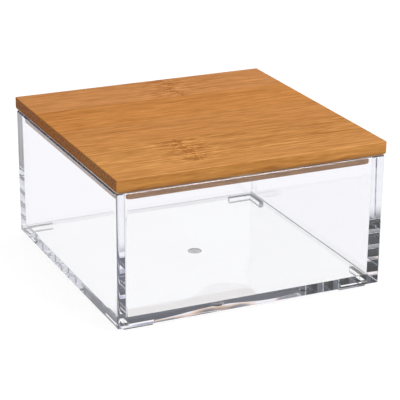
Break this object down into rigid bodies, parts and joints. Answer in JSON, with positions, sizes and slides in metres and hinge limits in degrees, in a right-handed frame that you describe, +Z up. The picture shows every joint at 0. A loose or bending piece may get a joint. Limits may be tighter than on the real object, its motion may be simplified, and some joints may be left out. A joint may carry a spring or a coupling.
{
  "type": "lidded storage box",
  "caption": "Low square clear-plastic storage box on moulded corner feet, with a flat bamboo lid whose stepped underside drops into the mouth and lifts straight off.",
  "frame": {"origin": "under the middle of the box, on the surface its feet stand on", "axes": "+Z up, the way the lid lifts; X left to right along the front, the way the bamboo strips run; +Y from front to back"},
  "size_m": [0.12, 0.12, 0.0655],
  "materials": {
    "clear_plastic": "clear, polished, moulded polystyrene",
    "bamboo_front": "satin lacquered carbonised bamboo",
    "bamboo_pale": "satin lacquered carbonised bamboo, the palest strip",
    "bamboo_brown": "satin lacquered carbonised bamboo, a browner strip",
    "bamboo_yellow": "satin lacquered carbonised bamboo, a yellower strip",
    "bamboo_back": "satin lacquered carbonised bamboo",
    "bamboo_plug": "satin lacquered carbonised bamboo, unsorted strips of the underside"
  },
  "bodies": {
    "tub": {"clear_tub": "clear_plastic"},
    "lid": {"lid_strip_1": "bamboo_front", "lid_strip_2": "bamboo_pale", "lid_strip_3": "bamboo_brown", "lid_strip_4": "bamboo_yellow", "lid_strip_5": "bamboo_back", "plug_strip_1": "bamboo_plug", "plug_strip_2": "bamboo_plug", "plug_strip_3": "bamboo_plug", "plug_strip_4": "bamboo_plug", "plug_strip_5": "bamboo_plug"}
  },
  "joints": [
    {"name": "lid_lift", "type": "slide", "parent": "tub", "child": "lid", "axis": [0, 0, 1], "range_m": [0, 0.08]}
  ]
}
